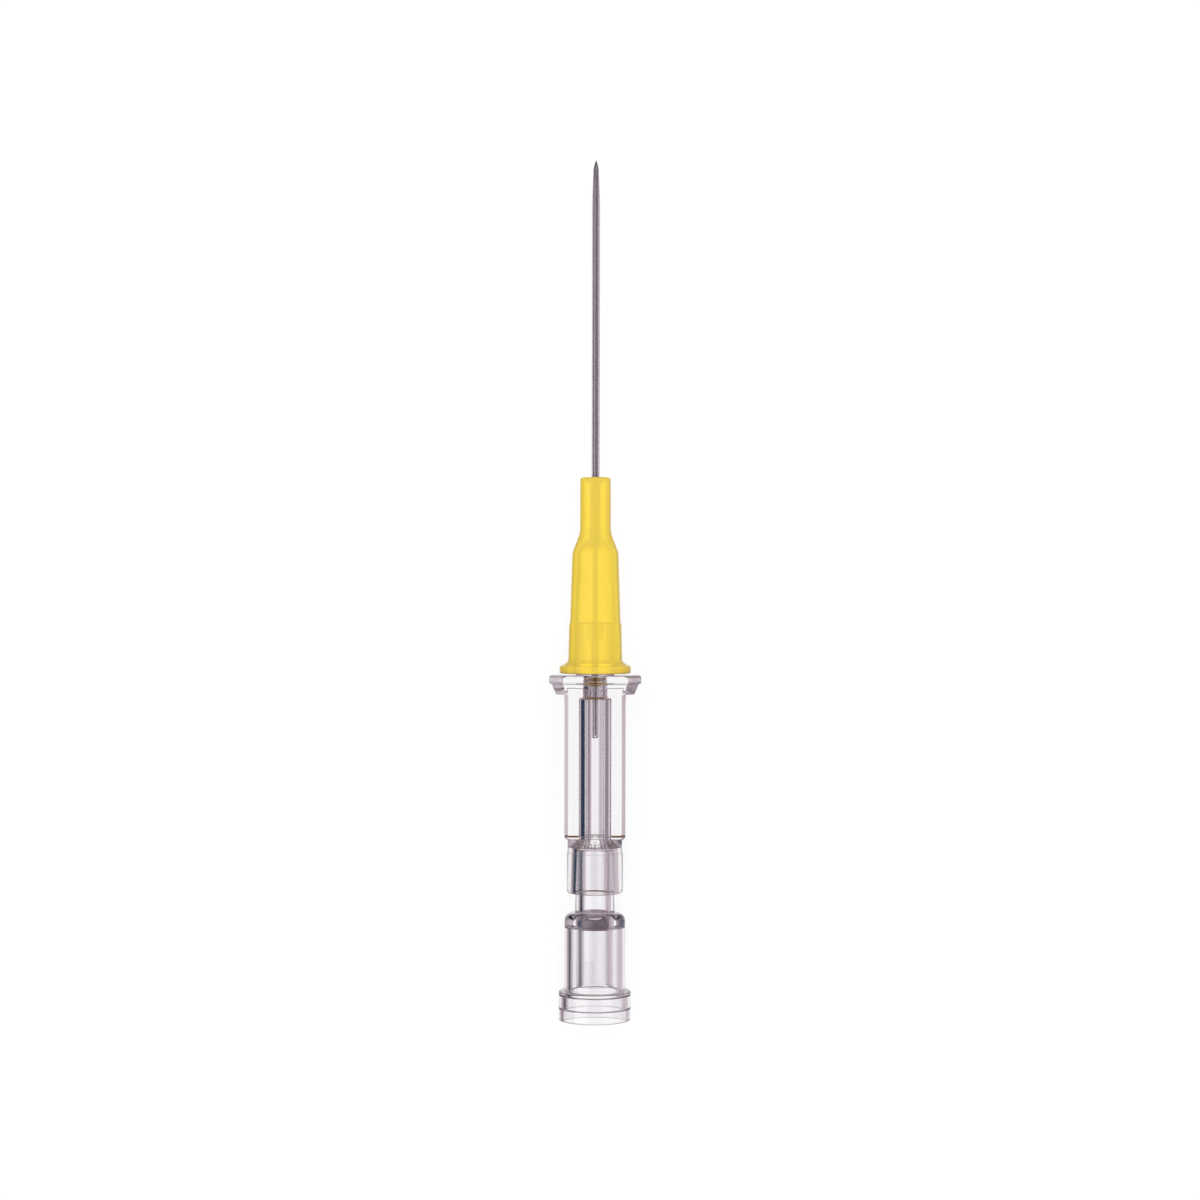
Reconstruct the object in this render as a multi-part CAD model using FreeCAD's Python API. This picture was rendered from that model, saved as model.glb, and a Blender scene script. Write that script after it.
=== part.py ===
"""Straight intravenous cannula, ready for use: a soft tube with a yellow luer hub, carried on a bevelled
steel needle whose clear hub is a flash chamber, closed at the back by a clear vent plug with a filter.

Every piece is drawn upright on one axis: +Z points to the needle's tip, and Z = 0 is the front face of the
needle hub's flange, where the yellow hub seats. The front, to which the bevel faces, is -Y.
lay_down() then lays the cannula on the flat back of its flange, tip towards +Y and bevel up.
"""

import FreeCAD, Part
import math
import os

Vector = FreeCAD.Vector
AXIS = Vector(0, 0, 1)

# Fits
luer_taper = 0.06  # diameter lost for each millimetre of depth, the 6 % luer cone
luer_mouth_diameter = 4.28
luer_clearance = 0.03  # radial, between a luer cone and its socket
bond_line = 0.02  # radial, the glue line or draught where two pieces are fixed together
hub_seat_gap = 0.15  # the yellow hub locks on the cone just before it meets the flange

# Needle: a drawn steel tube with a lancet point
needle_diameter = 0.50
needle_bore = 0.28
needle_tip_overhang = 0.95  # bare point past the end of the soft tube
needle_tail_length = 6.55  # behind the flange's front face
bevel_length = 2.5
lancet_length = 1.5
lancet_turn = 38.0  # degrees that each side grind is rolled round the needle
tool_overrun = 1.0  # a drill runs this far past the face that it opens

# Soft tube
tube_diameter = 0.86
tube_bore = 0.56
tube_free_length = 33.7  # from the yellow hub's nose to the tube's end
tube_taper_length = 3.5
tube_tip_diameter = 0.62
tube_tip_bore = 0.53
tube_tail_in_cone = 0.75  # the flared end stands this far behind its seat in the hub

# Steel eyelet that is driven into the tube's end and grips it in the hub
eyelet_diameter = 0.74
eyelet_wall = 0.06
eyelet_length = 2.1
eyelet_flare_length = 0.3
eyelet_flare_diameter = 1.5

# Yellow hub of the soft tube, from its mouth to its nose
collar_diameter = 7.8
collar_length = 0.85
collar_edge_chamfer = 0.15
ramp_diameter = 7.3
ramp_length = 0.5
hub_rear_diameter = 5.9
hub_rear_length = 4.1
hub_step_diameter = 5.72
hub_step_height = 0.10
hub_front_length = 7.7
hub_shoulder_diameter = 5.06
hub_shoulder_length = 2.2
hub_shoulder_radius = 0.6
hub_neck_radius = 1.6
hub_nose_diameter = 3.35
hub_nose_length = 6.0
hub_nose_edge_chamfer = 0.25
hub_countersink_diameter = 2.3
hub_countersink_depth = 0.85
luer_depth = 10.0
hub_lumen_diameter = 3.5
hub_cone_length = 1.25
tube_seat_drop = 0.77  # the bore that holds the widened tube starts this far behind the nose
tube_seat_lead = 0.2

# Needle hub: nose, flange, square flash chamber and the socket for the plug
nose_length = 5.7
nose_edge_chamfer = 0.30
glue_well_diameter = 1.2
glue_well_depth = 1.9
glue_meniscus_height = 0.25
glue_meniscus_width = 0.12
glue_dome_height = 0.08
flange_width = 10.0
flange_front_flat = 7.1
flange_side_flat = 3.6
flange_plate_length = 1.0
flange_edge_radius = 0.28
skirt_length = 1.1
skirt_step = 0.30  # the skirt starts this far inside the plate's edge
skirt_draw_in = 0.50  # and loses this much more on its way down
chamber_side = 6.6
chamber_length = 15.65
chamber_corner_chamfer = 0.5
chamber_end_radius = 0.3
chamber_floor_rise = 0.15  # the chamber's floor lies this far above the end of the block
chamber_bore = 3.6
chamber_roof = 2.45  # from the flange's front face to the top of the flash chamber
post_diameter = 1.1
roof_hollow_diameter = 2.7  # the roof rises round the post
roof_hollow_top = 0.15  # from the flange's front face
post_overhang = 0.3  # past the needle's end
post_end_chamfer = 0.2
floor_thickness = 1.25
floor_hole_diameter = 2.3
floor_rib_count = 12
floor_rib_width = 0.26
floor_rib_height = 0.36
floor_rib_lip = 0.18  # how far a rib reaches over the edge at either end of the funnel
neck_diameter = 6.0
neck_length = 1.65
socket_diameter = 6.15
socket_length = 4.4
socket_rim_chamfer = 0.30

# Vent plug: luer stem, shoulder, sleeve with a grip ring, and the inner tube that holds the filter
stem_length = 6.95
stem_bore = 2.8
stem_end_gap = 0.12  # between the stem's end and the floor of the socket
stem_edge_chamfer = 0.15
plug_shoulder_thickness = 1.45
plug_shoulder_radius = 0.85
sleeve_diameter = 6.64
sleeve_wall = 0.66
sleeve_length = 8.5
ring_diameter = 7.86
ring_length = 3.2
ring_edge_chamfer = 0.18
ring_bore = 6.3
ring_floor = 0.5
ring_rebate_diameter = 6.9
ring_rebate_depth = 1.3
core_diameter = 4.0
core_wall = 0.5
core_length = 8.0  # from the plug's shoulder
core_fin_length = 2.6
core_fin_thickness = 0.2
filter_depth = 0.9  # from the plug's shoulder to the filter's front face
filter_thickness = 0.85

# Places along the axis
hub_mouth_z = hub_seat_gap
collar_front_z = hub_mouth_z + collar_length
ramp_front_z = collar_front_z + ramp_length
hub_step_z = ramp_front_z + hub_rear_length
hub_shoulder_z = hub_step_z + hub_front_length
hub_neck_z = hub_shoulder_z + hub_shoulder_length
hub_front_z = hub_neck_z + hub_nose_length
luer_floor_z = hub_mouth_z + luer_depth
tube_seat_z = hub_neck_z - tube_seat_drop
tube_tail_z = tube_seat_z - tube_tail_in_cone
tube_tip_z = hub_front_z + tube_free_length
needle_tip_z = tube_tip_z + needle_tip_overhang
skirt_z = -flange_plate_length
chamber_top_z = skirt_z - skirt_length
chamber_end_z = chamber_top_z - chamber_length
neck_end_z = chamber_end_z - neck_length
socket_mouth_z = neck_end_z - socket_length
floor_top_z = chamber_end_z + chamber_floor_rise
floor_bottom_z = floor_top_z - floor_thickness
stem_tip_z = floor_bottom_z - stem_end_gap
plug_shoulder_z = stem_tip_z - stem_length
sleeve_end_z = plug_shoulder_z - sleeve_length
ring_end_z = sleeve_end_z - ring_length
core_end_z = plug_shoulder_z - core_length
axis_height = ring_diameter / 2
flange_depth = ring_diameter  # the flange's flat back and the grip ring rest on the same surface
middle_z = (needle_tip_z + ring_end_z) / 2


def luer_radius(mouth_z, z):
    """Radius at height z of a luer socket that narrows upwards from its mouth at mouth_z."""
    return (luer_mouth_diameter - luer_taper * (z - mouth_z)) / 2


def turned(points):
    """A solid of revolution from a closed outline of (radius, z) points."""
    corners = [Vector(r, 0, z) for r, z in points]
    face = Part.Face(Part.makePolygon(corners + corners[:1]))
    return face.revolve(Vector(0, 0, 0), AXIS, 360)


def rod(diameter, low_z, high_z):
    return Part.makeCylinder(diameter / 2, high_z - low_z, Vector(0, 0, low_z), AXIS)


def circles(solid, z, diameter):
    """The circular edges of that diameter at height z."""
    return [
        edge
        for edge in solid.Edges
        if isinstance(edge.Curve, Part.Circle)
        and abs(edge.Curve.Center.z - z) < 1e-4
        and abs(edge.Curve.Radius - diameter / 2) < 1e-4
    ]


def rounded(solid, radius, z, diameter):
    return solid.makeFillet(radius, circles(solid, z, diameter))


def chamfered(solid, size, z, diameter):
    return solid.makeChamfer(size, circles(solid, z, diameter))


def octagon(width, depth, front_flat, side_flat, z):
    """A closed eight-sided wire: flats at the front, back and sides, and four slanting corners."""
    x, y = width / 2, depth / 2
    corners = [
        (front_flat / 2, -y),
        (x, -side_flat / 2),
        (x, side_flat / 2),
        (front_flat / 2, y),
        (-front_flat / 2, y),
        (-x, side_flat / 2),
        (-x, -side_flat / 2),
        (-front_flat / 2, -y),
    ]
    points = [Vector(px, py, z) for px, py in corners]
    return Part.makePolygon(points + points[:1])


def around_axis(solid, count):
    """Copies of a solid, evenly spaced round the axis."""
    copies = []
    for number in range(count):
        copy = solid.copy()
        copy.rotate(Vector(0, 0, 0), AXIS, 360 * number / count)
        copies.append(copy)
    return copies


def ground_away(length, roll):
    """What a grinding wheel takes off the needle: all that lies in front of a face through its point. The
    face crosses the needle in that length, and is rolled round the needle by roll degrees."""
    reach = 2 * (needle_diameter + bevel_length)
    tilt = math.degrees(math.atan2(needle_diameter, length))
    block = Part.makeBox(2 * reach, reach, 2 * reach, Vector(-reach, -reach, -reach))
    block.rotate(Vector(0, 0, 0), Vector(1, 0, 0), -tilt)
    block.rotate(Vector(0, 0, 0), AXIS, roll)
    block.translate(Vector(0, needle_diameter / 2, needle_tip_z))
    return block


def make_needle():
    """Steel tube ground to a long bevel, with a lancet grind on each side of its point."""
    tail_z = -needle_tail_length
    tube = rod(needle_diameter, tail_z, needle_tip_z)
    tube = tube.cut(rod(needle_bore, tail_z - tool_overrun, needle_tip_z + tool_overrun))
    tube = tube.cut(ground_away(bevel_length, 0))
    for side in (-1, 1):
        tube = tube.cut(ground_away(lancet_length, side * lancet_turn))
    return tube


def make_eyelet():
    """Thin steel ferrule with a funnel mouth at the back."""
    outer, flare = eyelet_diameter / 2, eyelet_flare_diameter / 2
    inner = outer - eyelet_wall
    flare_z = tube_tail_z + eyelet_flare_length
    front_z = tube_tail_z + eyelet_length
    return turned(
        [
            (flare, tube_tail_z),
            (outer, flare_z),
            (outer, front_z),
            (inner, front_z),
            (inner, flare_z),
            (flare - eyelet_wall, tube_tail_z),
        ]
    )


def make_tube():
    """Soft tube: necked over the needle's point at the tip, widened over the eyelet at the tail."""
    wall = (tube_diameter - tube_bore) / 2
    seat_inner = eyelet_diameter / 2 + bond_line
    flare_inner = eyelet_flare_diameter / 2 + bond_line
    flare_z = tube_tail_z + eyelet_flare_length
    lead_z = tube_tail_z + eyelet_length
    return turned(
        [
            (flare_inner, tube_tail_z),
            (flare_inner + wall, tube_tail_z),
            (seat_inner + wall, flare_z),
            (seat_inner + wall, lead_z),
            (tube_diameter / 2, lead_z + tube_seat_lead),
            (tube_diameter / 2, tube_tip_z - tube_taper_length),
            (tube_tip_diameter / 2, tube_tip_z),
            (tube_tip_bore / 2, tube_tip_z),
            (tube_bore / 2, tube_tip_z - tube_taper_length),
            (tube_bore / 2, lead_z + tube_seat_lead),
            (seat_inner, lead_z),
            (seat_inner, flare_z),
        ]
    )


def make_catheter_hub():
    """Yellow hub: collar, tapered barrel with one low step, waisted shoulder and nose, on a luer socket."""
    wall = (tube_diameter - tube_bore) / 2
    seat_radius = eyelet_diameter / 2 + bond_line + wall + bond_line
    bore_radius = tube_diameter / 2 + bond_line
    seat_front_z = tube_tail_z + eyelet_length
    nose_radius = hub_nose_diameter / 2
    step_front_diameter = hub_step_diameter - 2 * hub_step_height
    hub = turned(
        [
            (luer_radius(hub_mouth_z, hub_mouth_z), hub_mouth_z),
            (collar_diameter / 2, hub_mouth_z),
            (collar_diameter / 2, collar_front_z),
            (ramp_diameter / 2, collar_front_z),
            (hub_rear_diameter / 2, ramp_front_z),
            (hub_step_diameter / 2, hub_step_z - hub_step_height),
            (step_front_diameter / 2, hub_step_z + hub_step_height),
            (hub_shoulder_diameter / 2, hub_shoulder_z),
            (nose_radius, hub_neck_z),
            (nose_radius, hub_front_z),
            (hub_countersink_diameter / 2, hub_front_z),
            (bore_radius, hub_front_z - hub_countersink_depth),
            (bore_radius, seat_front_z + tube_seat_lead),
            (seat_radius, seat_front_z),
            (seat_radius, tube_seat_z),
            (hub_lumen_diameter / 2, tube_seat_z - hub_cone_length),
            (hub_lumen_diameter / 2, luer_floor_z),
            (luer_radius(hub_mouth_z, luer_floor_z), luer_floor_z),
        ]
    )
    hub = rounded(hub, hub_neck_radius, hub_neck_z, hub_nose_diameter)
    hub = rounded(hub, hub_shoulder_radius, hub_shoulder_z, hub_shoulder_diameter)
    hub = chamfered(hub, hub_nose_edge_chamfer, hub_front_z, hub_nose_diameter)
    hub = chamfered(hub, collar_edge_chamfer, collar_front_z, collar_diameter)
    return chamfered(hub, collar_edge_chamfer, hub_mouth_z, collar_diameter)


def make_flange():
    """Eight-sided thumb plate with flat front and back, on a skirt that draws in towards the chamber."""
    plate_wire = octagon(flange_width, flange_depth, flange_front_flat, flange_side_flat, 0)
    plate = Part.Face(plate_wire).extrude(Vector(0, 0, -flange_plate_length))
    rims = [e for e in plate.Edges if e.BoundBox.ZLength < 1e-6]
    plate = plate.makeFillet(flange_edge_radius, rims)
    wires = []
    for z, inset in ((skirt_z, skirt_step), (chamber_top_z, skirt_step + skirt_draw_in)):
        wires.append(
            octagon(
                flange_width - 2 * inset,
                flange_depth - 2 * inset,
                flange_front_flat - inset,
                flange_side_flat - inset,
                z,
            )
        )
    return plate.fuse(Part.makeLoft(wires, True, True))


def make_chamber_block():
    """Square block of the flash chamber, with bevelled corners and a rounded lower rim."""
    corner = Vector(-chamber_side / 2, -chamber_side / 2, chamber_end_z)
    block = Part.makeBox(chamber_side, chamber_side, chamber_length, corner)
    upright = [e for e in block.Edges if e.BoundBox.ZLength > chamber_length / 2]
    block = block.makeChamfer(chamber_corner_chamfer, upright)
    rim = [e for e in block.Edges if abs(e.BoundBox.ZMax - chamber_end_z) < 1e-4]
    return block.makeFillet(chamber_end_radius, rim)


def make_nose():
    """Male luer cone that carries the yellow hub."""
    tip_radius = luer_radius(hub_mouth_z, nose_length) - luer_clearance
    root_radius = luer_radius(hub_mouth_z, hub_mouth_z) - luer_clearance
    nose = Part.makeCone(root_radius, tip_radius, nose_length, Vector(0, 0, 0), AXIS)
    return chamfered(nose, nose_edge_chamfer, nose_length, 2 * tip_radius)


def make_post():
    """Spigot round the needle's tail, hanging from the roof of the flash chamber."""
    end_z = -needle_tail_length - post_overhang
    post = rod(post_diameter, end_z, -roof_hollow_top)
    return chamfered(post, post_end_chamfer, end_z, post_diameter)


def make_floor_ribs():
    """Upright ribs on the funnel between the chamber and the socket, which keep the way for air open."""
    hole, socket = floor_hole_diameter / 2, luer_radius(socket_mouth_z, floor_bottom_z)
    outline = [
        Vector(hole - floor_rib_lip, 0, floor_top_z),
        Vector(hole + floor_rib_lip, 0, floor_top_z),
        Vector(socket, 0, floor_bottom_z + floor_rib_lip),
        Vector(socket, 0, floor_bottom_z),
        Vector(socket - floor_rib_height, 0, floor_bottom_z),
    ]
    rib = Part.Face(Part.makePolygon(outline + outline[:1])).extrude(Vector(0, floor_rib_width, 0))
    rib.translate(Vector(0, -floor_rib_width / 2, 0))
    return around_axis(rib, floor_rib_count)


def make_needle_hub():
    """Clear hub in one piece: nose, thumb flange, flash chamber, and the luer socket for the plug."""
    solid = make_nose().fuse(
        [
            make_flange(),
            make_chamber_block(),
            rod(neck_diameter, neck_end_z, chamber_end_z),
            chamfered(
                rod(socket_diameter, socket_mouth_z, neck_end_z),
                socket_rim_chamfer,
                socket_mouth_z,
                socket_diameter,
            ),
        ]
    )
    socket_floor_radius = luer_radius(socket_mouth_z, floor_bottom_z)
    hollow = rod(chamber_bore, floor_top_z, -chamber_roof).fuse(
        [
            rod(roof_hollow_diameter, -chamber_roof, -roof_hollow_top),
            Part.makeCone(
                socket_floor_radius,
                floor_hole_diameter / 2,
                floor_thickness,
                Vector(0, 0, floor_bottom_z),
                AXIS,
            ),
            Part.makeCone(
                luer_radius(socket_mouth_z, socket_mouth_z),
                socket_floor_radius,
                floor_bottom_z - socket_mouth_z,
                Vector(0, 0, socket_mouth_z),
                AXIS,
            ),
        ]
    )
    solid = solid.cut(hollow).fuse([make_post()] + make_floor_ribs())
    hole_end_z = -needle_tail_length - post_overhang - tool_overrun
    needle_hole = rod(needle_diameter + 2 * bond_line, hole_end_z, nose_length)
    glue_well = rod(glue_well_diameter, nose_length - glue_well_depth, nose_length)
    return solid.cut([needle_hole, glue_well]).removeSplitter()


def make_needle_glue():
    """Cured adhesive that fills the well round the needle, with a meniscus that climbs the steel."""
    well_radius = glue_well_diameter / 2
    needle_radius = needle_diameter / 2 + bond_line / 2
    low_z = nose_length - glue_well_depth
    return turned(
        [
            (needle_radius, low_z),
            (well_radius, low_z),
            (well_radius, nose_length),
            (needle_radius + glue_meniscus_width, nose_length + glue_dome_height),
            (needle_radius, nose_length + glue_meniscus_height),
        ]
    )


def stem_radius(z):
    """Radius of the plug's stem, which fills the needle hub's socket."""
    return luer_radius(socket_mouth_z, z) - luer_clearance


def make_plug_body():
    """Clear plug: hollow luer stem and shoulder, sleeve with a grip ring, and an inner tube with a fin."""
    core_radius = core_diameter / 2
    core_bore_radius = core_radius - core_wall
    filter_front_z = plug_shoulder_z - filter_depth
    sleeve_floor_z = plug_shoulder_z - plug_shoulder_thickness
    ring_floor_z = sleeve_end_z - ring_floor
    rebate_z = ring_end_z + ring_rebate_depth
    plug = turned(
        [
            (stem_bore / 2, stem_tip_z),
            (stem_radius(stem_tip_z), stem_tip_z),
            (stem_radius(plug_shoulder_z), plug_shoulder_z),
            (sleeve_diameter / 2, plug_shoulder_z),
            (sleeve_diameter / 2, sleeve_end_z),
            (ring_diameter / 2, sleeve_end_z),
            (ring_diameter / 2, ring_end_z),
            (ring_rebate_diameter / 2, ring_end_z),
            (ring_rebate_diameter / 2, rebate_z),
            (ring_bore / 2, rebate_z),
            (ring_bore / 2, ring_floor_z),
            (sleeve_diameter / 2 - sleeve_wall, ring_floor_z),
            (sleeve_diameter / 2 - sleeve_wall, sleeve_floor_z),
            (core_radius, sleeve_floor_z),
            (core_radius, core_end_z),
            (core_bore_radius, core_end_z),
            (core_bore_radius, filter_front_z),
            (stem_bore / 2, filter_front_z),
        ]
    )
    plug = chamfered(plug, stem_edge_chamfer, stem_tip_z, 2 * stem_radius(stem_tip_z))
    plug = rounded(plug, plug_shoulder_radius, plug_shoulder_z, sleeve_diameter)
    plug = chamfered(plug, ring_edge_chamfer, sleeve_end_z, ring_diameter)
    plug = chamfered(plug, ring_edge_chamfer, ring_end_z, ring_diameter)
    fin_width = core_bore_radius + core_wall / 2
    fin_corner = Vector(-fin_width, -core_fin_thickness / 2, core_end_z)
    fin = Part.makeBox(fin_width, core_fin_thickness, core_fin_length, fin_corner)
    return plug.fuse(fin).removeSplitter()


def make_filter():
    """Porous disc that lets air out of the flash chamber and holds blood back."""
    front_z = plug_shoulder_z - filter_depth
    return rod(core_diameter - 2 * core_wall, front_z - filter_thickness, front_z)


def lay_down(solid):
    """Lays an upright piece on the flange's flat back and the grip ring, its middle over the origin."""
    laid = solid.copy()
    laid.rotate(Vector(0, 0, 0), Vector(1, 0, 0), -90)
    laid.translate(Vector(0, -middle_z, axis_height))
    return laid


pieces = {
    "catheter_tube": make_tube(),
    "tube_eyelet": make_eyelet(),
    "catheter_hub": make_catheter_hub(),
    "needle": make_needle(),
    "needle_glue": make_needle_glue(),
    "needle_hub": make_needle_hub(),
    "plug_body": make_plug_body(),
    "vent_filter": make_filter(),
}

os.makedirs("parts", exist_ok=True)
for name, piece in pieces.items():
    lay_down(piece).exportStep("parts/" + name + ".step")
    print(name, "valid", piece.isValid(), "solids", len(piece.Solids), "mm3", round(piece.Volume, 2))
print("flange face at y", round(-middle_z, 3), "tip at y", round(needle_tip_z - middle_z, 3))
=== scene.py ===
"""Looks of the straight intravenous cannula: a steel needle in a clear flash-chamber hub, a soft
tube with a yellow luer hub, and a clear vent plug. Lengths are in millimetres until they are
multiplied by MM."""

import bpy
import bmesh
import math
from mathutils import Matrix, Vector


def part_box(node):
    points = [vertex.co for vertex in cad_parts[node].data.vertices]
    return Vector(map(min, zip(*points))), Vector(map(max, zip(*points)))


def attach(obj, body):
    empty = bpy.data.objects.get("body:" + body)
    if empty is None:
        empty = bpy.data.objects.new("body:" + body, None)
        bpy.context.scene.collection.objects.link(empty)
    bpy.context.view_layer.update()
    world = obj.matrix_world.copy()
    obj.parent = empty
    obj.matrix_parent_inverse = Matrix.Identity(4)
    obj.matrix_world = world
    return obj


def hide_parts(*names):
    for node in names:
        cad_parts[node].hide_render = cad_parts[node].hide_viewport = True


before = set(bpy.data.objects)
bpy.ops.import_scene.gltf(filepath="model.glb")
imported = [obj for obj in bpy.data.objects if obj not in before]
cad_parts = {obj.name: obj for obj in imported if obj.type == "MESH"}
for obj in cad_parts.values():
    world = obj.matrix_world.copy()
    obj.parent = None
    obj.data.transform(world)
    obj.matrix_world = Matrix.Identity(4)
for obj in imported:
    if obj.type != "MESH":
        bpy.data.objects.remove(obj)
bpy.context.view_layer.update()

MM = 0.001
scene = bpy.context.scene
scene.view_settings.view_transform = "Standard"
scene.cycles.max_bounces = 32
scene.cycles.glossy_bounces = 16
scene.cycles.transmission_bounces = 28
scene.cycles.transparent_max_bounces = 24

# Camera. It looks straight down on the cannula, which lies on the floor with its point away from
# the viewer. It hangs 285 mm over the axis, above the barrel of the yellow hub.
CAMERA_HEIGHT = 288.93
CAMERA_AT = (0.507, -1.12)
CLIP = (0.01, 10)  # metres
ROLL = 0.1  # degrees
LENS = 78.4

camera = bpy.data.objects.new("camera", bpy.data.cameras.new("camera"))
camera.location = (CAMERA_AT[0] * MM, CAMERA_AT[1] * MM, CAMERA_HEIGHT * MM)
camera.rotation_euler = (0, 0, math.radians(ROLL))
camera.data.lens = LENS
camera.data.clip_start, camera.data.clip_end = CLIP
scene.collection.objects.link(camera)
scene.camera = camera


# Floor: a matt white acrylic sheet, lit evenly from both sides, as on a light table. The camera
# sees the sheet, and clear plastic shows the studio that lies round and under it.
FLOOR_SIZE = 1500.0
FLOOR_SHADE = 0.12  # share of the floor's white that the object can shade
WHITE = "#FFFFFF"


def linear(code):
    """A colour given as an sRGB hex value, in Blender's linear red, green, blue and alpha."""
    parts = [int(code[i:i + 2], 16) / 255 for i in (1, 3, 5)]
    return tuple(p / 12.92 if p <= 0.04045 else ((p + 0.055) / 1.055) ** 2.4 for p in parts) + (1,)


def add(tree, kind, inputs=None, **settings):
    """Adds a shader node with its settings, and with values or links for its inputs."""
    made = tree.nodes.new("ShaderNode" + kind)
    for key, value in settings.items():
        setattr(made, key, value)
    for key, value in (inputs or {}).items():
        if isinstance(value, bpy.types.NodeSocket):
            tree.links.new(value, made.inputs[key])
        else:
            made.inputs[key].default_value = value
    return made


def new_material(name):
    """A material with no nodes yet, and its node tree."""
    material = bpy.data.materials.new(name)
    material.use_nodes = True
    material.node_tree.nodes.clear()
    return material, material.node_tree


bm = bmesh.new()
bmesh.ops.create_grid(bm, x_segments=4, y_segments=4, size=FLOOR_SIZE / 2 * MM)
floor = bpy.data.objects.new("floor", bpy.data.meshes.new("floor"))
bm.to_mesh(floor.data)
bm.free()
scene.collection.objects.link(floor)

acrylic, tree = new_material("matt white acrylic sheet")
ray = add(tree, "LightPath")
paint = add(tree, "BsdfDiffuse", {"Color": linear("#F4F4F5")})
glow = add(tree, "Emission", {"Color": linear(WHITE), "Strength": 1.0})
lit = add(tree, "MixShader", {0: FLOOR_SHADE, 1: glow.outputs[0], 2: paint.outputs[0]})
seen_through = add(tree, "Math", {
    0: ray.outputs["Is Transmission Ray"], 1: ray.outputs["Is Glossy Ray"],
}, operation="MAXIMUM")
opening = add(tree, "BsdfTransparent")
sheet = add(tree, "MixShader", {
    0: seen_through.outputs[0], 1: lit.outputs[0], 2: opening.outputs[0],
})
add(tree, "OutputMaterial", {"Surface": sheet.outputs[0]})
floor.data.materials.append(acrylic)


# Studio. The camera sees plain white. Plastic and steel show a white screen straight under the
# cannula, dim walls round it that are darker at both ends and on the left, a blue panel on the
# left, and a window high on the left. Directions count from -1 to 1.
WINDOW = Vector((-0.72, 0.0, 0.69)).normalized()
PANEL_BLUE = "#1B3248"
END_GREY = "#76656F"
SOFT_WHITE = "#F4F3F4"  # the light that matt surfaces get
LAMP_SIZE = 0.9  # metres, as is its place
LAMP_AT = (0.0, 0.1, 0.9)
LAMP_POWER = 6.0

world = bpy.data.worlds.new("studio")
world.use_nodes = True
scene.world = world
tree = world.node_tree
tree.nodes.clear()
ray = add(tree, "LightPath")
towards = add(tree, "TexCoord").outputs["Generated"]
axes = add(tree, "SeparateXYZ", {0: towards})
sideways = add(tree, "Math", {0: axes.outputs["Y"]}, operation="ABSOLUTE")


def blend(tree, share, under, over):
    """One colour laid over another by a share from 0 to 1."""
    return add(tree, "Mix", {0: share, 6: under, 7: over}, data_type="RGBA").outputs[2]


def reached(value, start, end, most=1.0):
    """The share of the way from start to end that a value has come, scaled to a highest share."""
    return add(tree, "MapRange", {
        "Value": value, "From Min": start, "From Max": end, "To Max": most,
    }).outputs[0]


height = reached(axes.outputs["Z"], -1.0, 1.0)


def shaded(stops):
    """The colour of a wall from the floor up, from stops of (share of the way up, colour)."""
    wall = add(tree, "ValToRGB", {0: height})
    for end, (place, code) in ((0, stops[0]), (1, stops[-1])):
        wall.color_ramp.elements[end].position = place
        wall.color_ramp.elements[end].color = linear(code)
    for place, code in stops[1:-1]:
        wall.color_ramp.elements.new(place).color = linear(code)
    return wall.outputs[0]


upper = [
    (0.650, "#7C707C"), (0.740, "#A89EA6"), (0.860, "#A79FA6"), (0.940, "#857C84"),
    (1.000, "#6E6670"),
]
right_wall = shaded([
    (0.000, WHITE), (0.030, WHITE), (0.050, "#DCD2D8"), (0.070, "#CABEC5"), (0.210, "#C4B7C0"),
    (0.330, "#AA9CA7"), (0.400, "#6A5E68"), (0.455, "#998D97"), (0.545, "#998D97"),
    (0.590, "#62565F"),
] + upper)
left_wall = shaded([
    (0.000, WHITE), (0.030, WHITE), (0.047, "#D2C4C6"), (0.075, "#B8A5AA"), (0.130, "#9A8A93"),
    (0.330, "#85767F"), (0.400, "#544650"), (0.455, "#857983"), (0.545, "#857983"),
    (0.590, "#4E414B"),
] + upper)
walls = blend(tree, reached(axes.outputs["X"], -0.12, 0.12), left_wall, right_wall)
ends = reached(sideways.outputs[0], 0.35, 0.70, most=0.6)
with_ends = blend(tree, ends, walls, linear(END_GREY))
panel = add(tree, "Math", {
    0: reached(axes.outputs["X"], -0.62, -0.82), 1: reached(sideways.outputs[0], 0.40, 0.25),
}, operation="MULTIPLY")
with_panel = blend(tree, panel.outputs[0], with_ends, linear(PANEL_BLUE))
to_window = add(tree, "VectorMath", {0: towards, 1: WINDOW}, operation="DOT_PRODUCT")
window = reached(to_window.outputs["Value"], 0.90, 0.93)
studio = blend(tree, window, with_panel, linear(WHITE))
soft = blend(tree, ray.outputs["Is Diffuse Ray"], studio, linear(SOFT_WHITE))
plain = blend(tree, ray.outputs["Is Camera Ray"], soft, linear(WHITE))
light = add(tree, "Background", {"Color": plain, "Strength": 1.0})
add(tree, "OutputWorld", {"Surface": light.outputs[0]})

lamp = bpy.data.objects.new("soft box", bpy.data.lights.new("soft box", "AREA"))
lamp.data.shape = "SQUARE"
lamp.data.size = LAMP_SIZE
lamp.data.energy = LAMP_POWER
lamp.location = LAMP_AT
lamp.visible_glossy = False
lamp.visible_transmission = False
scene.collection.objects.link(lamp)


# Needle. A drawn stainless steel tube, ground to a long bevel with a lancet grind on each side of
# its point. It is glued into the needle hub's nose, and its blunt tail ends in the flash chamber.
NEEDLE_DIAMETER = 0.50
NEEDLE_BORE = 0.28
BEVEL_LENGTH = 2.5
LANCET_LENGTH = 1.5
LANCET_TURN = 38.0  # degrees
STONE_REACH = 12.0
NOSE_LENGTH = 5.7
STEPS = 128  # faces round a turned piece
MERGED = 0.0005  # corners closer together than this are one
SMOOTH_BELOW = 32.0  # degrees between two faces

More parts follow.
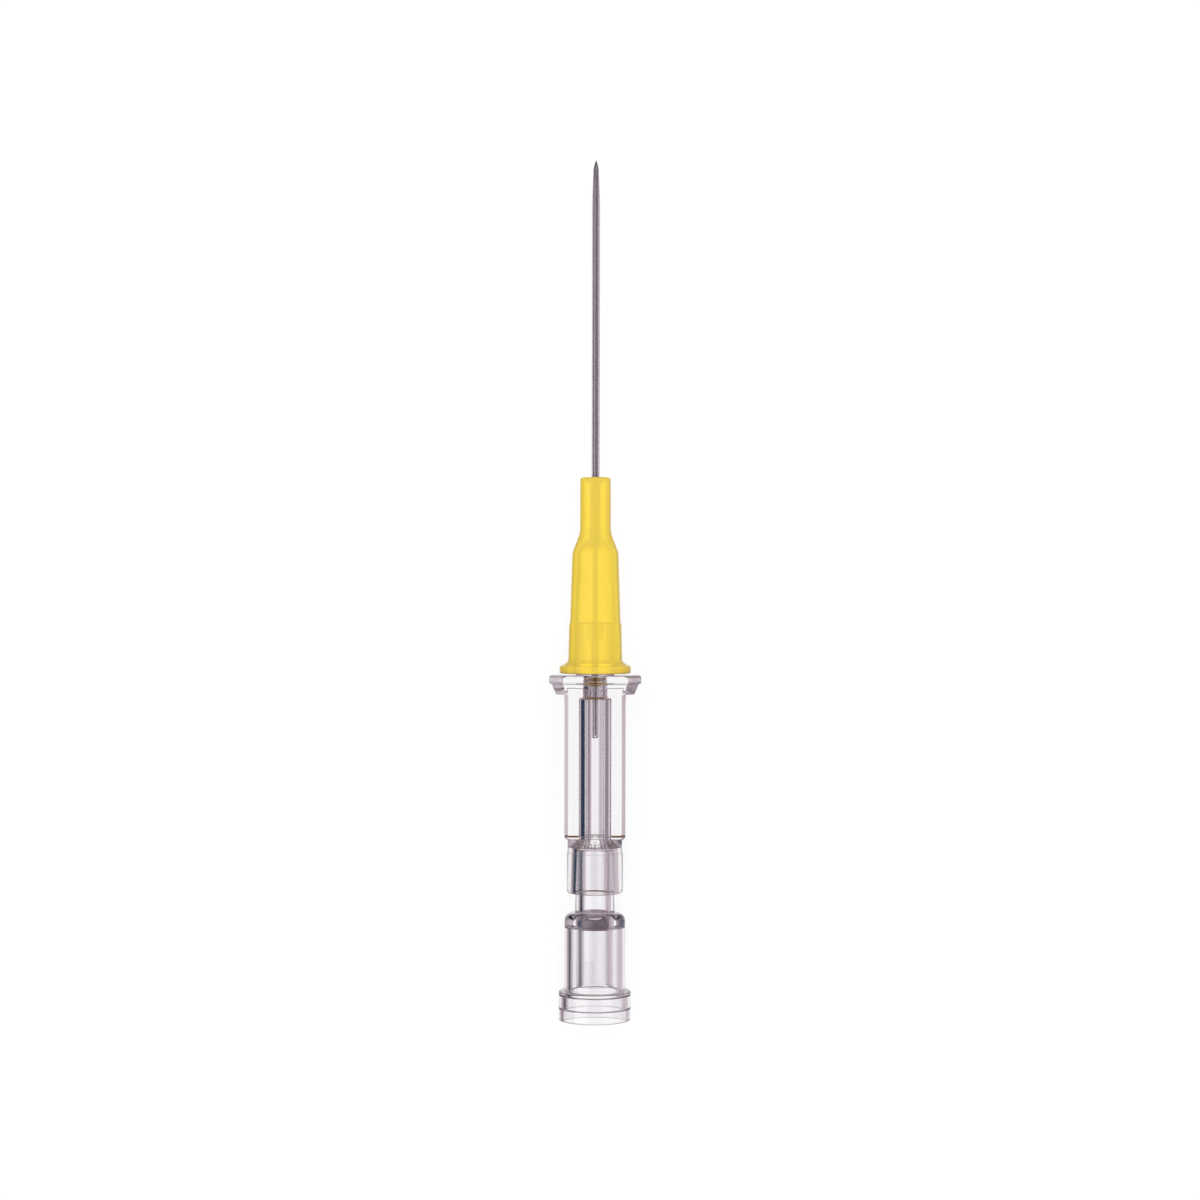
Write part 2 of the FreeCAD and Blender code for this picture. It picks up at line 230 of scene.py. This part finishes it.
needle_low, needle_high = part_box("needle")
hub_low, hub_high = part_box("needle_hub")
AXIS_Z = (hub_low.z + hub_high.z) / 2
FLANGE_Y = hub_high.y - NOSE_LENGTH * MM  # the flange's front face, where places start at 0
NEEDLE_TIP = (needle_high.y - FLANGE_Y) / MM
NEEDLE_TAIL = (needle_low.y - FLANGE_Y) / MM


def new_object(name, bm):
    """A scene object from a finished bmesh, with its doubles merged and its faces outwards."""
    bmesh.ops.remove_doubles(bm, verts=bm.verts, dist=MERGED * MM)
    bmesh.ops.recalc_face_normals(bm, faces=bm.faces)
    if bm.calc_volume(signed=True) < 0:
        bmesh.ops.reverse_faces(bm, faces=bm.faces)
    mesh = bpy.data.meshes.new(name)
    bm.to_mesh(mesh)
    bm.free()
    made = bpy.data.objects.new(name, mesh)
    scene.collection.objects.link(made)
    return made


def rounded(bm, geom, radius, segments=5, affect="VERTICES"):
    """Rounds the corners of an outline, or the edges of a body."""
    bmesh.ops.bevel(bm, geom=geom, offset=radius * MM, offset_type="OFFSET", segments=segments,
                    profile=0.5, affect=affect, material=-1)


def turned(name, outline, steps=STEPS):
    """A piece turned on the cannula's axis from an outline of (radius, place, rounding)."""
    bm = bmesh.new()
    corners = [bm.verts.new((r * MM, FLANGE_Y + a * MM, AXIS_Z)) for r, a, _ in outline]
    for number, corner in enumerate(corners):
        if outline[number][0] or outline[number - 1][0]:  # no edge along the axis itself
            bm.edges.new((corners[number - 1], corner))
    for corner, (_, _, rounding) in zip(corners, outline):
        if rounding:
            rounded(bm, [corner], rounding)
    bmesh.ops.spin(bm, geom=bm.verts[:] + bm.edges[:], cent=(0, 0, AXIS_Z), axis=(0, 1, 0),
                   angle=2 * math.pi, steps=steps, use_merge=True)
    return new_object(name, bm)


def combined(piece, other, operation):
    """Adds the other to the piece, or cuts it out of the piece. The other is used up."""
    work = piece.modifiers.new("combine", "BOOLEAN")
    work.operation = operation
    work.solver = "MANIFOLD"
    work.object = other
    shaped = piece.evaluated_get(bpy.context.evaluated_depsgraph_get())
    result = bpy.data.meshes.new_from_object(shaped)
    piece.modifiers.clear()
    piece.data = result
    bpy.data.objects.remove(other)


def finished(piece, body, slot, material, *nodes):
    """Smooth shading with crisp edges, the material, and the place in the frame."""
    mesh = piece.data
    bm = bmesh.new()
    bm.from_mesh(mesh)
    bmesh.ops.remove_doubles(bm, verts=bm.verts, dist=MERGED * MM)
    bmesh.ops.dissolve_degenerate(bm, edges=bm.edges, dist=MERGED * MM)
    bm.to_mesh(mesh)
    bm.free()
    mesh.materials.clear()
    mesh.materials.append(material)
    for face in mesh.polygons:
        face.use_smooth = True
    mesh.set_sharp_from_angle(angle=math.radians(SMOOTH_BELOW))
    shading = piece.modifiers.new("even shading", "WEIGHTED_NORMAL")
    shading.keep_sharp = True
    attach(piece, body)
    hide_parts(*nodes)


def stone(length, roll):
    """What a grinding face takes off: all above a plane through the point, rolled on the axis."""
    bm = bmesh.new()
    reach = STONE_REACH * MM
    bmesh.ops.create_cube(bm, size=2 * reach)
    bmesh.ops.translate(bm, verts=bm.verts, vec=(0, 0, reach))
    tilt = math.atan2(NEEDLE_DIAMETER, length)
    for angle, axis in ((-tilt, "X"), (math.radians(roll), "Y")):
        bmesh.ops.rotate(bm, verts=bm.verts, cent=(0, 0, 0), matrix=Matrix.Rotation(angle, 3, axis))
    point = (0, FLANGE_Y + NEEDLE_TIP * MM, AXIS_Z - NEEDLE_DIAMETER / 2 * MM)
    bmesh.ops.translate(bm, verts=bm.verts, vec=point)
    return new_object("stone", bm)


steel_needle = turned(
    "steel_needle",
    [
        (NEEDLE_BORE / 2, NEEDLE_TAIL, 0),
        (NEEDLE_DIAMETER / 2, NEEDLE_TAIL, 0.04),
        (NEEDLE_DIAMETER / 2, NEEDLE_TIP, 0),
        (NEEDLE_BORE / 2, NEEDLE_TIP, 0),
    ],
    steps=64,
)
combined(steel_needle, stone(BEVEL_LENGTH, 0), "DIFFERENCE")
for roll in (LANCET_TURN, -LANCET_TURN):
    combined(steel_needle, stone(LANCET_LENGTH, roll), "DIFFERENCE")

# Drawn stainless steel: a mirror with fine lines along the tube, which stretch every reflection.
drawn_steel, tree = new_material("drawn stainless steel")
place = add(tree, "TexCoord").outputs["Object"]
along = add(tree, "Mapping", {"Vector": place, "Scale": (1.0, 0.006, 1.0)})
lines = add(tree, "TexNoise", {"Vector": along.outputs[0], "Scale": 24000.0, "Detail": 3.0})
worn = add(tree, "MapRange", {"Value": lines.outputs["Fac"], "To Min": 0.06, "To Max": 0.18})
ridges = add(tree, "Bump", {
    "Height": lines.outputs["Fac"], "Strength": 0.10, "Distance": 0.003 * MM,
})
steel = add(tree, "BsdfPrincipled", {
    "Base Color": linear("#C9C5C9"), "Metallic": 1.0, "Roughness": worn.outputs[0],
    "Normal": ridges.outputs[0],
})
add(tree, "OutputMaterial", {"Surface": steel.outputs[0]})
finished(steel_needle, "needle_unit", "needle_steel", drawn_steel, "needle")


# Needle hub. One clear polycarbonate moulding: luer nose, eight-sided thumb flange, square flash
# chamber with a spigot round the needle's tail, a ribbed funnel, and the plug's luer socket.
LUER_TAPER = 0.06
LUER_MOUTH = 4.28  # diameter
CLEARANCE = 0.03  # round the luer cones
BOND = 0.02  # round what is glued or pressed in
OVERSHOOT = 0.5  # how far a cut or a hidden root runs on past a surface
NEAR = 0.01  # corners this close to a plane lie in it
HUB_MOUTH = 0.15
WELL_DIAMETER = 1.2
WELL_DEPTH = 1.9
WELL_FLOOR = NOSE_LENGTH - WELL_DEPTH
FLANGE_WIDTH = 10.0
FLANGE_DEPTH = 7.86
FRONT_FLAT = 7.1
SIDE_FLAT = 3.6
PLATE_LENGTH = 1.0
FLANGE_ROUNDING = 0.28
SKIRT_LENGTH = 1.1
SKIRT_STEP = 0.30
SKIRT_DRAW_IN = 0.50
CHAMBER_SIDE = 6.6
CHAMBER_START = -0.6  # hidden in the flange
CHAMBER_END = -17.75
CORNER = 0.5
EDGE_ROUNDING = 0.16
END_ROUNDING = 0.3
ROOF = -2.45
CHAMBER_BORE = 3.6
FLOOR_TOP = -17.6
FLOOR_BOTTOM = -18.85
FLOOR_HOLE = 2.3
POST_DIAMETER = 1.1
POST_END = NEEDLE_TAIL - 0.3
ROOF_HOLLOW = (2.7, -0.15)  # diameter and top of the domed hollow round the spigot's root
RIBS = 12
RIB = (0.26, 0.36, 0.18)  # width, height and lip
RIB_ROOT = 0.05  # how deep a rib stands in the wall
RIB_DROP = 0.02  # how far its ends lie below the floor's top and bottom
NECK_DIAMETER = 6.0
NECK_END = -19.4
SOCKET_START = CHAMBER_END + 0.6  # hidden in the chamber's end
SOCKET_DIAMETER = 6.15
SOCKET_MOUTH = -23.8


def luer(mouth, place):
    """Radius of a luer socket that narrows from its mouth towards that place."""
    return (LUER_MOUTH - LUER_TAPER * (place - mouth)) / 2


def slab(corners, push):
    """A bmesh of a flat outline, pushed out to a body, and the face at its far end."""
    bm = bmesh.new()
    near_side = bm.faces.new([bm.verts.new(corner) for corner in corners])
    grown = bmesh.ops.extrude_face_region(bm, geom=[near_side])["geom"]
    far_side = next(item for item in grown if isinstance(item, bmesh.types.BMFace))
    bmesh.ops.translate(bm, verts=far_side.verts[:], vec=push)
    return bm, far_side


nose_root = luer(HUB_MOUTH, HUB_MOUTH) - CLEARANCE
nose_tip = luer(HUB_MOUTH, NOSE_LENGTH) - CLEARANCE
clear_hub = turned(
    "clear_needle_hub",
    [
        (0, -OVERSHOOT, 0),
        (nose_root, -OVERSHOOT, 0),
        (nose_root, 0, 0),
        (nose_tip, NOSE_LENGTH, 0.30),
        (0, NOSE_LENGTH, 0),
    ],
)

half_width, half_depth = FLANGE_WIDTH / 2, FLANGE_DEPTH / 2
half_front, half_side = FRONT_FLAT / 2, SIDE_FLAT / 2
rim = [
    (half_front, half_depth), (half_width, half_side),
    (half_width, -half_side), (half_front, -half_depth),
    (-half_front, -half_depth), (-half_width, -half_side),
    (-half_width, half_side), (-half_front, half_depth),
]


def on_rim(corner):
    """Whether a corner lies on the outermost outline of the flange, behind its plate."""
    x, z = abs(corner.co.x) / MM, abs(corner.co.z - AXIS_Z) / MM
    behind = abs(corner.co.y - FLANGE_Y + PLATE_LENGTH * MM) < NEAR * MM
    return behind and (abs(x - half_width) < NEAR or abs(z - half_depth) < NEAR)


bm, back = slab([(x * MM, FLANGE_Y, AXIS_Z + z * MM) for x, z in rim], (0, -PLATE_LENGTH * MM, 0))
bmesh.ops.recalc_face_normals(bm, faces=bm.faces)
bmesh.ops.inset_region(bm, faces=[back], thickness=SKIRT_STEP * MM)
bmesh.ops.inset_region(bm, faces=[back], thickness=SKIRT_DRAW_IN * MM, depth=SKIRT_LENGTH * MM)
front_edges = [e for e in bm.edges if all(v.co.y > FLANGE_Y - NEAR * MM for v in e.verts)]
rear_edges = [e for e in bm.edges if all(on_rim(v) for v in e.verts)]
rounded(bm, front_edges + rear_edges, FLANGE_ROUNDING, affect="EDGES")
combined(clear_hub, new_object("flange", bm), "UNION")

# The chamber is a stack of square outlines with cut corners, drawn in round its lower end.
bm = bmesh.new()
levels = [(CHAMBER_START, 0.0)] + [
    (CHAMBER_END + END_ROUNDING * (1 - math.sin(turn)), END_ROUNDING * (1 - math.cos(turn)))
    for turn in map(math.radians, (0, 22.5, 45, 67.5, 90))
]
rings = []
for a, inset in levels:
    half = CHAMBER_SIDE / 2 - inset
    cut = half - (CORNER - (2 - math.sqrt(2)) * inset)
    outline = [(half, cut), (cut, half), (-cut, half), (-half, cut),
               (-half, -cut), (-cut, -half), (cut, -half), (half, -cut)]
    corners = [bm.verts.new((x * MM, FLANGE_Y + a * MM, AXIS_Z + z * MM)) for x, z in outline]
    for number, corner in enumerate(corners):
        bm.edges.new((corners[number - 1], corner))
    rounded(bm, corners, EDGE_ROUNDING, segments=4)
    rings.append([e for e in bm.edges if all(e not in earlier for earlier in rings)])
for upper_ring, lower_ring in zip(rings, rings[1:]):
    bmesh.ops.bridge_loops(bm, edges=upper_ring + lower_ring)
for ring in (rings[0], rings[-1]):
    bmesh.ops.edgeloop_fill(bm, edges=ring)
combined(clear_hub, new_object("chamber", bm), "UNION")

socket = turned(
    "socket",
    [
        (0, SOCKET_START, 0),
        (NECK_DIAMETER / 2, SOCKET_START, 0),
        (NECK_DIAMETER / 2, NECK_END, 0),
        (SOCKET_DIAMETER / 2, NECK_END, 0.03),
        (SOCKET_DIAMETER / 2, SOCKET_MOUTH, 0.35),
        (0, SOCKET_MOUTH, 0),
    ],
)
combined(clear_hub, socket, "UNION")

floor_radius = luer(SOCKET_MOUTH, FLOOR_BOTTOM)
mouth_radius = luer(SOCKET_MOUTH, SOCKET_MOUTH)
needle_hole = NEEDLE_DIAMETER / 2 + BOND
air = turned(
    "air",
    [
        (0, NOSE_LENGTH + OVERSHOOT, 0),
        (WELL_DIAMETER / 2, NOSE_LENGTH + OVERSHOOT, 0),
        (WELL_DIAMETER / 2, WELL_FLOOR, 0.05),
        (needle_hole, WELL_FLOOR, 0),
        (needle_hole, POST_END, 0.03),
        (POST_DIAMETER / 2, POST_END, 0.2),
        (POST_DIAMETER / 2, ROOF_HOLLOW[1], 0.15),
        (ROOF_HOLLOW[0] / 2, ROOF_HOLLOW[1], 0.60),
        (ROOF_HOLLOW[0] / 2, ROOF, 0.15),
        (CHAMBER_BORE / 2, ROOF, 0.25),
        (CHAMBER_BORE / 2, FLOOR_TOP, 0.1),
        (FLOOR_HOLE / 2, FLOOR_TOP, 0.06),
        (floor_radius, FLOOR_BOTTOM, 0.05),
        (mouth_radius, SOCKET_MOUTH, 0),
        (mouth_radius, SOCKET_MOUTH - OVERSHOOT, 0),
        (0, SOCKET_MOUTH - OVERSHOOT, 0),
    ],
)
combined(clear_hub, air, "DIFFERENCE")

rib_width, rib_height, lip = RIB
hole, wall_radius = FLOOR_HOLE / 2, floor_radius + RIB_ROOT
web = [
    (hole - lip, FLOOR_TOP - RIB_DROP), (hole + lip, FLOOR_TOP - RIB_DROP),
    (wall_radius, FLOOR_BOTTOM + lip), (wall_radius, FLOOR_BOTTOM - RIB_DROP),
    (floor_radius - rib_height, FLOOR_BOTTOM - RIB_DROP),
]
side = [(r * MM, FLANGE_Y + a * MM, AXIS_Z - rib_width / 2 * MM) for r, a in web]
for number in range(RIBS):
    bm, _ = slab(side, (0, 0, rib_width * MM))
    bmesh.ops.rotate(bm, verts=bm.verts, cent=(0, 0, AXIS_Z),
                     matrix=Matrix.Rotation(2 * math.pi * number / RIBS, 3, "Y"))
    combined(clear_hub, new_object("rib", bm), "UNION")


def clear_plastic(name, tint, ior, roughness, clear=1.0, second_tint="#F2F0F4",
                  depth_colour=None, density=0.0):
    """A see-through moulded plastic: a gloss skin with faint flow marks in two tints, of which one
    share is clear and the rest scatters light, and a dye that deepens with the way through it."""
    material, tree = new_material(name)
    place = add(tree, "TexCoord").outputs["Object"]
    flow = add(tree, "Mapping", {"Vector": place, "Scale": (1.0, 0.35, 1.0)})
    marks = add(tree, "TexNoise", {"Vector": flow.outputs[0], "Scale": 900.0, "Detail": 2.0})
    skin = add(tree, "Bump", {
        "Height": marks.outputs["Fac"], "Strength": 0.10, "Distance": 0.010 * MM,
    })
    plastic = add(tree, "BsdfPrincipled", {
        "Base Color": blend(tree, marks.outputs["Fac"], linear(tint), linear(second_tint)),
        "Roughness": roughness, "IOR": ior, "Transmission Weight": clear,
        "Normal": skin.outputs[0],
    })
    output = add(tree, "OutputMaterial", {"Surface": plastic.outputs[0]})
    if depth_colour:
        dye = add(tree, "VolumeAbsorption", {"Color": linear(depth_colour), "Density": density})
        tree.links.new(dye.outputs[0], output.inputs["Volume"])
    return material


polycarbonate = clear_plastic("clear polycarbonate", "#FFFEFF", 1.55, 0.012, 1.0, "#FDFCFE")
finished(clear_hub, "needle_unit", "clear_plastic", polycarbonate, "needle_hub")


# Glue. A bead of clear light-cured adhesive, which fills the well in the nose and climbs the needle
# a little. It wets both, so it reaches a little way into them, with no air between.
GLUE_OVERLAP = 0.01
GLUE_SINK = 0.02  # at the well's wall
GLUE_CREST = (0.12, 0.08)  # out from the needle and up from the nose
GLUE_CLIMB = 0.25

glue_inner = NEEDLE_DIAMETER / 2 - GLUE_OVERLAP
glue_outer = WELL_DIAMETER / 2 + GLUE_OVERLAP
glue_bead = turned(
    "glue_bead",
    [
        (glue_inner, WELL_FLOOR - GLUE_OVERLAP, 0),
        (glue_outer, WELL_FLOOR - GLUE_OVERLAP, 0.04),
        (glue_outer, NOSE_LENGTH - GLUE_SINK, 0.05),
        (NEEDLE_DIAMETER / 2 + GLUE_CREST[0], NOSE_LENGTH + GLUE_CREST[1], 0.06),
        (glue_inner, NOSE_LENGTH + GLUE_CLIMB, 0),
    ],
    steps=64,
)
cured_glue = clear_plastic("light-cured adhesive", "#EFEAE4", 1.50, 0.06, 0.9)
finished(glue_bead, "needle_unit", "cured_glue", cured_glue, "needle_glue")


# Soft tube. Extruded fluoropolymer, necked down over the needle at its tip and widened over the
# eyelet at its tail. It is clear enough to show the needle as a dark line.
TUBE_DIAMETER = 0.86
TUBE_BORE = 0.56
TUBE_TIP_DIAMETER = 0.62
TUBE_TIP_BORE = 0.53
TAPER_LENGTH = 3.5
EYELET_DIAMETER = 0.74
EYELET_WALL = 0.06
EYELET_LENGTH = 2.1
FLARE_LENGTH = 0.3
FLARE_DIAMETER = 1.5
LEAD = 0.2

tube_low, tube_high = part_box("catheter_tube")
TUBE_TAIL = (tube_low.y - FLANGE_Y) / MM
TUBE_TIP = (tube_high.y - FLANGE_Y) / MM
wall = (TUBE_DIAMETER - TUBE_BORE) / 2
grip = EYELET_DIAMETER / 2 + BOND
flare = FLARE_DIAMETER / 2 + BOND
flare_end = TUBE_TAIL + FLARE_LENGTH
grip_end = TUBE_TAIL + EYELET_LENGTH
soft_tube = turned(
    "soft_tube",
    [
        (flare, TUBE_TAIL, 0.03),
        (flare + wall, TUBE_TAIL, 0.05),
        (grip + wall, flare_end, 0.10),
        (grip + wall, grip_end, 0.10),
        (TUBE_DIAMETER / 2, grip_end + LEAD, 0.10),
        (TUBE_DIAMETER / 2, TUBE_TIP - TAPER_LENGTH, 0.60),
        (TUBE_TIP_DIAMETER / 2, TUBE_TIP, 0.03),
        (TUBE_TIP_BORE / 2, TUBE_TIP, 0),
        (TUBE_BORE / 2, TUBE_TIP - TAPER_LENGTH, 0.60),
        (TUBE_BORE / 2, grip_end + LEAD, 0),
        (grip, grip_end, 0),
        (grip, flare_end, 0.05),
    ],
    steps=96,
)
fluoropolymer = clear_plastic("extruded fluoropolymer", "#EDE3E8", 1.35, 0.06, 0.92)
finished(soft_tube, "catheter", "tube_plastic", fluoropolymer, "catheter_tube")


# Eyelet. A thin ferrule, drawn from stainless steel strip, that is driven into the tube's tail to
# hold it. Its rear end is flared like a funnel.
ferrule = turned(
    "steel_eyelet",
    [
        (FLARE_DIAMETER / 2, TUBE_TAIL, 0.02),
        (EYELET_DIAMETER / 2, flare_end, 0.10),
        (EYELET_DIAMETER / 2, grip_end, 0.02),
        (EYELET_DIAMETER / 2 - EYELET_WALL, grip_end, 0.02),
        (EYELET_DIAMETER / 2 - EYELET_WALL, flare_end, 0.06),
        (FLARE_DIAMETER / 2 - EYELET_WALL, TUBE_TAIL, 0.02),
    ],
    steps=64,
)
finished(ferrule, "catheter", "eyelet_steel", drawn_steel, "tube_eyelet")


# Yellow hub. One moulding of transparent yellow polypropylene: collar, tapered barrel with one low
# step, waisted shoulder and nose, on a luer socket that takes the clear nose.
COLLAR_DIAMETER = 7.8
COLLAR_FRONT = 1.0
RAMP_DIAMETER = 7.3
RAMP_FRONT = 1.5
REAR_DIAMETER = 5.9
STEP_PLACE = 5.6
STEP_DIAMETER = 5.72
STEP_HEIGHT = 0.10
SHOULDER = 13.3
SHOULDER_DIAMETER = 5.06
NECK = 15.5
HUB_FRONT = 21.5
HUB_NOSE_DIAMETER = 3.35
COUNTERSINK = (2.3, 0.85)  # diameter and depth
LUER_FLOOR = 10.15
LUMEN = 3.5
CONE_LENGTH = 1.25
TUBE_SEAT = 14.73
BORE_MARGIN = 0.02
YELLOW_IOR = 1.28
YELLOW_ROUGHNESS = 0.03
YELLOW_DYE = ("#FFF850", 500.0)  # its colour, and its density in a metre

seat_radius = grip + wall + BOND
bore_radius = TUBE_DIAMETER / 2 + BOND
yellow_hub = turned(
    "yellow_catheter_hub",
    [
        (luer(HUB_MOUTH, HUB_MOUTH), HUB_MOUTH, 0.08),
        (COLLAR_DIAMETER / 2, HUB_MOUTH, 0.15),
        (COLLAR_DIAMETER / 2, COLLAR_FRONT, 0.15),
        (RAMP_DIAMETER / 2, COLLAR_FRONT, 0.05),
        (REAR_DIAMETER / 2, RAMP_FRONT, 0.20),
        (STEP_DIAMETER / 2, STEP_PLACE - STEP_HEIGHT, 0.06),
        (STEP_DIAMETER / 2 - STEP_HEIGHT, STEP_PLACE + STEP_HEIGHT, 0.06),
        (SHOULDER_DIAMETER / 2, SHOULDER, 0.30),
        (HUB_NOSE_DIAMETER / 2, NECK, 0.55),
        (HUB_NOSE_DIAMETER / 2, HUB_FRONT, 0.28),
        (COUNTERSINK[0] / 2, HUB_FRONT, 0.08),
        (bore_radius, HUB_FRONT - COUNTERSINK[1], 0.05),
        (bore_radius, grip_end + LEAD, 0),
        (seat_radius, grip_end, 0),
        (seat_radius, TUBE_SEAT, 0.10),
        (LUMEN / 2, TUBE_SEAT - CONE_LENGTH, 0.55),
        (LUMEN / 2, LUER_FLOOR, 0.03),
        (luer(HUB_MOUTH, LUER_FLOOR), LUER_FLOOR, 0.03),
    ],
)
# The outside scatters a share of the light, and the inside is clear. The faces of the narrow bore
# round the tube, where the plastic is thickest, get a deeper orange copy: painted shade, standing
# in for the dye that looks deepest along the light's longest way through the plastic.
polypropylene, inner_skin, bore_painted_shade = [
    clear_plastic(name, tint, YELLOW_IOR, YELLOW_ROUGHNESS, clear, second_tint, *YELLOW_DYE)
    for name, tint, clear, second_tint in (
        ("transparent yellow polypropylene", "#FFE254", 0.46, "#FFE562"),
        ("yellow polypropylene inside", "#FFFBD8", 1.0, "#FFFCE0"),
        ("yellow polypropylene with painted shade round the tube", "#FFA81C", 0.5, "#FFB434"),
    )
]
finished(yellow_hub, "catheter", "yellow_plastic", polypropylene, "catheter_hub")
yellow_hub.data.materials.append(inner_skin)
yellow_hub.data.materials.append(bore_painted_shade)
# Faces that look towards the axis get the clear inside, and those round the tube the painted shade.
for face in yellow_hub.data.polygons:
    outwards = Vector((face.center.x, 0, face.center.z - AXIS_Z))
    if face.normal.dot(outwards.normalized()) < -0.2:  # it looks towards the axis
        face.material_index = 2 if outwards.length < (bore_radius + BORE_MARGIN) * MM else 1


# Vent plug. One clear polycarbonate moulding: hollow luer stem, round shoulder, sleeve with a grip
# ring, and an inner tube with one small fin. It is pushed into the needle hub's socket.
STEM_TIP = -18.97
STEM_BORE = 2.8
PLUG_SHOULDER = -25.92
SHOULDER_THICKNESS = 1.45
SHOULDER_RADIUS = 0.85
SLEEVE_DIAMETER = 6.64
SLEEVE_WALL = 0.66
SLEEVE_END = -34.42
RING_DIAMETER = 7.86
RING_END = -37.62
RING_BORE = 6.3
RING_FLOOR = 0.5
RING_REBATE = (6.9, 1.3)  # diameter and depth
CORE_DIAMETER = 4.0
CORE_WALL = 0.5
CORE_END = -33.92
FIN_THICKNESS = 0.2
FIN_ENDS = (CORE_END + 0.02, CORE_END + 2.6)
FILTER_FRONT = PLUG_SHOULDER - 0.9


def stem(place):
    """Radius of the plug's stem at that place."""
    return luer(SOCKET_MOUTH, place) - CLEARANCE


ceiling = PLUG_SHOULDER - SHOULDER_THICKNESS
ring_bottom = SLEEVE_END - RING_FLOOR
rebate_floor = RING_END + RING_REBATE[1]
sleeve_inner = SLEEVE_DIAMETER / 2 - SLEEVE_WALL
core_inner = CORE_DIAMETER / 2 - CORE_WALL
clear_plug = turned(
    "clear_vent_plug",
    [
        (STEM_BORE / 2, STEM_TIP, 0.05),
        (stem(STEM_TIP), STEM_TIP, 0.15),
        (stem(PLUG_SHOULDER), PLUG_SHOULDER, 0.10),
        (SLEEVE_DIAMETER / 2, PLUG_SHOULDER, SHOULDER_RADIUS),
        (SLEEVE_DIAMETER / 2, SLEEVE_END, 0.10),
        (RING_DIAMETER / 2, SLEEVE_END, 0.18),
        (RING_DIAMETER / 2, RING_END, 0.18),
        (RING_REBATE[0] / 2, RING_END, 0.16),
        (RING_REBATE[0] / 2, rebate_floor, 0.12),
        (RING_BORE / 2, rebate_floor, 0.12),
        (RING_BORE / 2, ring_bottom, 0.10),
        (sleeve_inner, ring_bottom, 0.10),
        (sleeve_inner, ceiling, 0.25),
        (CORE_DIAMETER / 2, ceiling, 0.15),
        (CORE_DIAMETER / 2, CORE_END, 0.08),
        (core_inner, CORE_END, 0.08),
        (core_inner, FILTER_FRONT, 0),
        (STEM_BORE / 2, FILTER_FRONT, 0),
    ],
)
fin_reach = core_inner + CORE_WALL / 2  # from the axis to the middle of the inner tube's wall
fin_side = [
    (x * MM, FLANGE_Y + a * MM, AXIS_Z - FIN_THICKNESS / 2 * MM)
    for x, a in ((0, FIN_ENDS[0]), (0, FIN_ENDS[1]), (-fin_reach, FIN_ENDS[1]),
                 (-fin_reach, FIN_ENDS[0]))
]
bm, _ = slab(fin_side, (0, 0, FIN_THICKNESS * MM))
combined(clear_plug, new_object("fin", bm), "UNION")
finished(clear_plug, "vent_plug", "clear_plastic", polycarbonate, "plug_body")


# Filter. A disc punched from sintered porous polyethylene sheet, pressed into the head of the inner
# tube. It lets air out and holds blood back. Its grains are drawn coarser than the real 0.02 mm so
# that they show.
FILTER_THICKNESS = 0.85
FILTER_GAP = 0.01

filter_radius = core_inner - FILTER_GAP
porous_filter = turned(
    "porous_filter",
    [
        (0, FILTER_FRONT - FILTER_GAP, 0),
        (filter_radius, FILTER_FRONT - FILTER_GAP, 0.06),
        (filter_radius, FILTER_FRONT - FILTER_THICKNESS, 0.06),
        (0, FILTER_FRONT - FILTER_THICKNESS, 0),
    ],
    steps=96,
)
sintered, tree = new_material("sintered porous polyethylene")
place = add(tree, "TexCoord").outputs["Object"]
grains = add(tree, "TexVoronoi", {"Vector": place, "Scale": 9000.0})
patches = add(tree, "TexNoise", {"Vector": place, "Scale": 2500.0, "Detail": 3.0})
pits = add(tree, "Bump", {
    "Height": grains.outputs["Distance"], "Strength": 0.6, "Distance": 0.02 * MM,
}, invert=True)
porous = add(tree, "BsdfPrincipled", {
    "Base Color": blend(tree, patches.outputs["Fac"], linear("#D2C6CD"), linear("#F0E8ED")),
    "Roughness": 0.75, "IOR": 1.5, "Normal": pits.outputs[0],
})
add(tree, "OutputMaterial", {"Surface": porous.outputs[0]})
finished(porous_filter, "vent_plug", "filter_fibre", sintered, "vent_filter")
